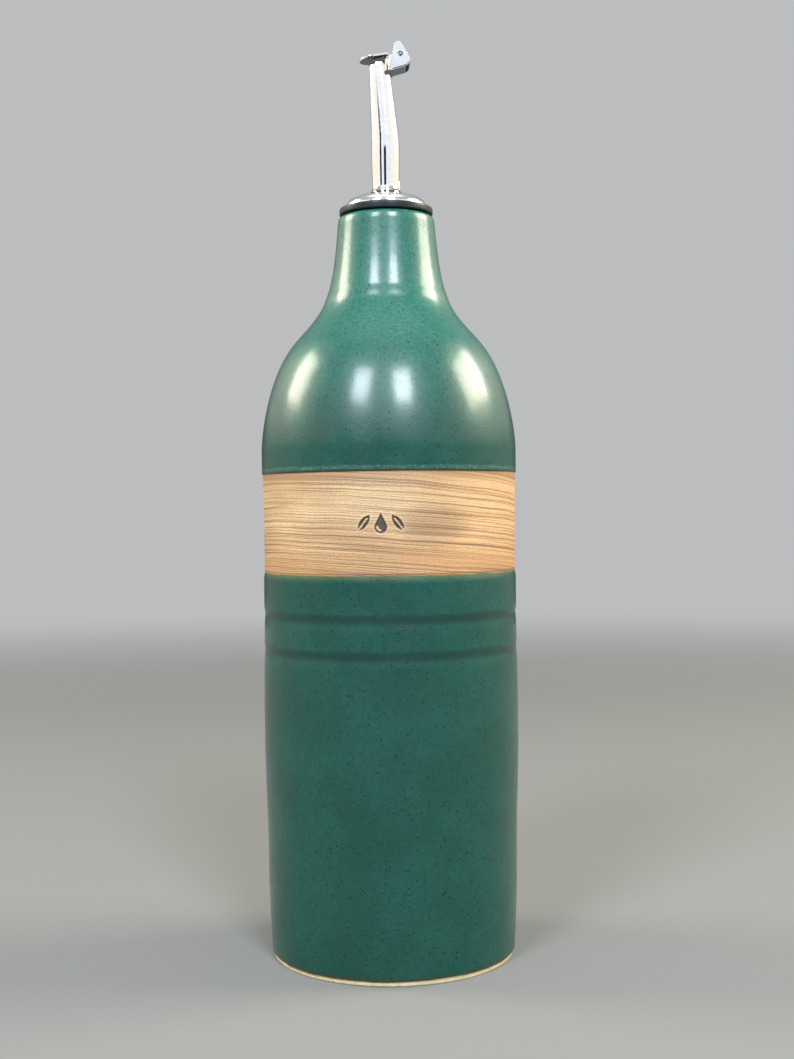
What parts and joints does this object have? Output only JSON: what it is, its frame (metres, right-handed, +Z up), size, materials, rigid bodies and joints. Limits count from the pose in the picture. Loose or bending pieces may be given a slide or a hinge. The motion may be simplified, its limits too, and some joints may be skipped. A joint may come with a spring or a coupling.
{
  "type": "ceramic oil bottle with flip-top pourer",
  "caption": "Tall glazed stoneware oil bottle with a bare clay band, rounded shoulder and short neck, closed by a stopper with a leaning steel spout and a hinged flap.",
  "frame": {"origin": "centre of the flat foot, on the surface the bottle stands on", "axes": "+Z up along the bottle's axis; the stamped front of the bare band faces -Y; the spout leans towards -X and its hinge is on the +X side"},
  "size_m": [0.082, 0.082, 0.2928],
  "materials": {
    "glazed_stoneware": "satin teal glaze with fine dark speckles",
    "bare_clay": "unglazed stoneware, brushed with a brown stain",
    "black_stopper": "satin black",
    "polished_steel": "polished stainless steel"
  },
  "bodies": {
    "bottle": {"bottle": "glazed_stoneware", "stopper": "black_stopper", "collar": "polished_steel", "spout": "polished_steel", "hinge_bracket": "polished_steel", "hinge_pin": "polished_steel"},
    "flap": {"flap": "polished_steel"}
  },
  "joints": [
    {"name": "flap_hinge", "type": "hinge", "parent": "bottle", "child": "flap", "pos_m": [0.0051, 0, 0.2887], "axis": [0, 1, 0], "range_deg": [0, 45]}
  ]
}
